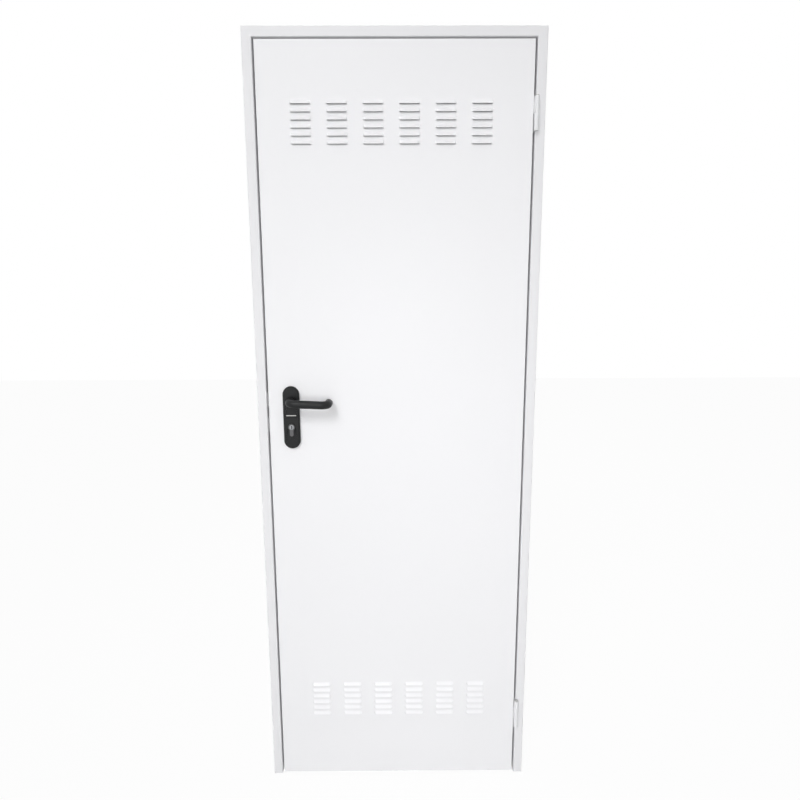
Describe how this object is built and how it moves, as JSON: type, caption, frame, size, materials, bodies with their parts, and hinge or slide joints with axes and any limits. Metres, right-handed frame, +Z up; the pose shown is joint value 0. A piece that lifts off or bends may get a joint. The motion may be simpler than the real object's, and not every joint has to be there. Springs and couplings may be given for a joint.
{
  "type": "louvred steel door with frame",
  "caption": "White pressed-steel storeroom door: louvred hollow leaf on knuckle hinges in a three-sided pressed frame, with a black return lever on a plate over a key cylinder",
  "frame": {"origin": "on the outer flat of the hinge jamb, at floor level, halfway along its front lip", "axes": "+X from the lock side to the hinge side seen from the front, +Y into the wall, +Z up"},
  "size_m": [0.735, 0.159, 2.0355],
  "materials": {
    "frame_lacquer": "white pre-lacquered galvanised sheet, satin",
    "leaf_lacquer": "white pre-lacquered galvanised sheet, satin",
    "hinge_lacquer": "white lacquered steel",
    "zinc_steel": "zinc-plated steel",
    "core_foam": "rigid foam, cut",
    "nickel_brass": "nickel-plated brass, satin",
    "black_nylon": "black moulded nylon, fine satin grain",
    "pale_strip": "pale grey strip, plain"
  },
  "bodies": {
    "frame": {"hinge_jamb": "frame_lacquer", "lock_jamb": "frame_lacquer", "head_rail": "frame_lacquer", "upper_hinge_frame_knuckle": "hinge_lacquer", "upper_hinge_pin": "zinc_steel", "lower_hinge_frame_knuckle_top": "hinge_lacquer", "lower_hinge_frame_knuckle_bottom": "hinge_lacquer", "lower_hinge_pin": "zinc_steel"},
    "leaf": {"front_skin": "leaf_lacquer", "back_skin": "leaf_lacquer", "top_channel": "leaf_lacquer", "bottom_channel": "leaf_lacquer", "upper_hinge_leaf_knuckle": "hinge_lacquer", "lower_hinge_leaf_knuckle": "hinge_lacquer", "lock_case": "zinc_steel", "lock_forend": "zinc_steel", "latch_bolt": "zinc_steel", "dead_bolt": "zinc_steel", "core_top": "core_foam", "core_middle": "core_foam", "core_bottom": "core_foam", "lock_cylinder": "nickel_brass", "front_upper_cover": "black_nylon", "front_lower_cover": "black_nylon", "back_upper_cover": "black_nylon", "back_lower_cover": "black_nylon", "front_marker_strip": "pale_strip"},
    "handle": {"front_lever": "black_nylon", "back_lever": "black_nylon", "spindle": "zinc_steel"}
  },
  "joints": [
    {"name": "leaf_swing", "type": "hinge", "parent": "frame", "child": "leaf", "pos_m": [-0.0235, -0.018, 1.003], "axis": [0, 0, 1], "range_deg": [0, 170]},
    {"name": "lever_turn", "type": "hinge", "parent": "leaf", "child": "handle", "pos_m": [-0.6455, -0.01, 1.128], "axis": [0, 1, 0], "range_deg": [0, 40], "stiffness_Nm_per_rad": 1.2, "springref_deg": -28.65}
  ]
}
